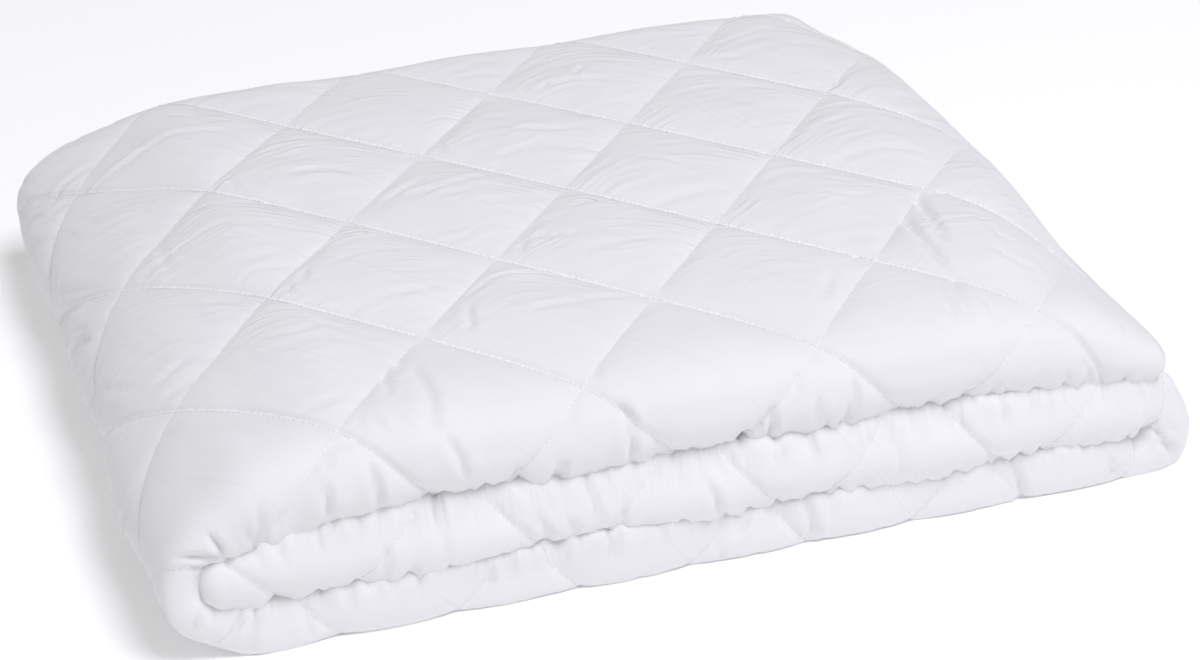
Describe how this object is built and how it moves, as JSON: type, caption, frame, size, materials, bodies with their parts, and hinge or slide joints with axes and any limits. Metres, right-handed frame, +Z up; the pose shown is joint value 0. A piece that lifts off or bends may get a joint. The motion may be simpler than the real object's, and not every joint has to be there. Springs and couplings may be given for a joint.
{
  "type": "quilted mattress pad",
  "caption": "White quilted mattress pad, folded lengthwise over a round front fold and then in three, ready for a shelf or a bed.",
  "frame": {"origin": "middle of the folded pad's bounding box, on the surface it lies on", "axes": "+X along the folded pad's long side, +Y to the back where the long edges lie open, +Z up"},
  "size_m": [0.6648, 0.54, 0.141],
  "materials": {
    "cotton": "matt white cotton percale with fine quilting seams"
  },
  "bodies": {
    "root": {"quilted_pad": "cotton"}
  },
  "joints": []
}
